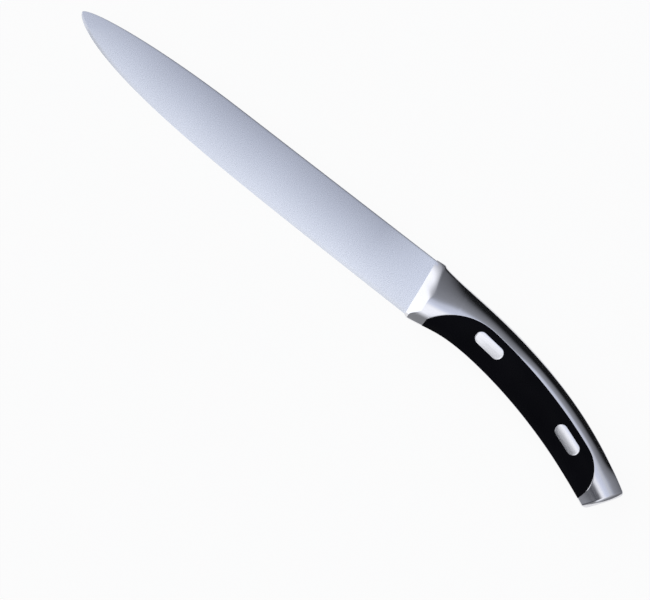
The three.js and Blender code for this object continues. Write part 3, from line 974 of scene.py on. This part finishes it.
world = bpy.data.worlds.new("Studio")
world.use_nodes = True
bpy.context.scene.world = world
tree = world.node_tree
direction = add_node(tree, "ShaderNodeTexCoord", {}).outputs["Generated"]


def toward(x, y):
    """How far a direction leans a given way, from 0 on the far side to 1 on the near one."""
    lean = add_node(tree, "ShaderNodeVectorMath", {0: direction, 1: (x, y, 0.0)}, operation="DOT_PRODUCT")
    return range_node(tree, lean.outputs["Value"], 0.0, 1.0, -1.0, 1.0)


def greys(value, stops):
    """Ramp over a lean, with a brightness and a share of extra blue at each stop."""
    return ramp_node(
        tree,
        value,
        [((at + 1) / 2, (level, level * (1 + blue / 4), level * (1 + blue))) for at, level, blue in stops],
    )


def blend_node(kind, first, second, share=1.0):
    settings = {"Factor": share, "A": first, "B": second}
    return add_node(tree, "ShaderNodeMix", settings, data_type="RGBA", blend_type=kind).outputs["Result"]


wall_to_front = greys(
    toward(-0.15, -0.989),
    (
        (-0.91, 0.008, 0.14),
        (-0.88, 0.04, 0.14),
        (-0.84, 0.09, 0.14),
        (-0.80, 0.145, 0.14),
        (-0.72, 0.20, 0.14),
        (-0.64, 0.245, 0.14),
        (-0.56, 0.275, 0.14),
        (-0.48, 0.32, 0.16),
        (-0.40, 0.42, 0.2),
        (-0.32, 0.58, 0.24),
        (-0.24, 0.67, 0.24),
        (-0.12, 0.70, 0.24),
        (0.0, 0.76, 0.26),
        (0.05, 0.82, 0.24),
        (0.10, 0.92, 0.18),
        (0.15, 1.02, 0.1),
        (0.22, 1.14, 0.06),
        (0.30, 1.20, 0.06),
        (0.68, 1.20, 0.06),
        (0.76, 0.66, 0.06),
        (0.82, 0.25, 0.06),
        (0.91, 0.27, 0.06),
        (1.0, 0.38, 0.06),
    ),
)
left_panel = greys(
    toward(-1.0, 0.0),
    (
        (0.12, 0.0, 0.1),
        (0.24, 0.42, 0.1),
        (0.40, 0.62, 0.1),
        (0.54, 0.85, 0.08),
        (0.64, 1.05, 0.06),
        (0.74, 1.22, 0.06),
        (0.90, 1.34, 0.06),
    ),
)
right_wall = greys(
    toward(1.0, 0.0),
    ((0.15, 1.5, 0.1), (0.20, 0.72, 0.1), (0.36, 0.46, 0.1), (0.60, 0.28, 0.1), (0.80, 0.18, 0.1)),
)
gap_across = greys(
    toward(1.0, 0.0),
    ((-0.36, 0.0, 0.0), (-0.19, 1.0, 0.0), (-0.09, 1.0, 0.0), (0.04, 0.0, 0.0)),
)
gap_along = greys(
    toward(0.0, -1.0),
    ((0.14, 0.0, 0.0), (0.36, 0.97, 0.0), (0.64, 0.97, 0.0), (0.9, 0.91, 0.0)),
)
gap = math_node(tree, "MULTIPLY", gap_across, gap_along)
panels = blend_node("DARKEN", blend_node("LIGHTEN", wall_to_front, left_panel), right_wall)
surround = tree.nodes["Background"]
tree.links.new(blend_node("MIX", panels, GAP_GREY, gap), surround.inputs["Color"])
surround.inputs["Strength"].default_value = 1.0

VIEW_WIDTH = 0.2982
VIEW_CENTRE = (-0.03101, -0.01733)
VIEW_TURN = math.radians(37.7)
CAMERA_DISTANCE = 1.2
lens = bpy.data.cameras.new("camera")
lens.sensor_fit = "HORIZONTAL"
lens.sensor_width = 36.0
lens.lens = lens.sensor_width * CAMERA_DISTANCE / VIEW_WIDTH
camera = bpy.data.objects.new("camera", lens)
camera.location = heel_corner + Vector((*VIEW_CENTRE, CAMERA_DISTANCE))
camera.rotation_euler = (0.0, 0.0, VIEW_TURN)
bpy.context.scene.collection.objects.link(camera)
bpy.context.scene.camera = camera
bpy.context.scene.view_settings.view_transform = "Standard"
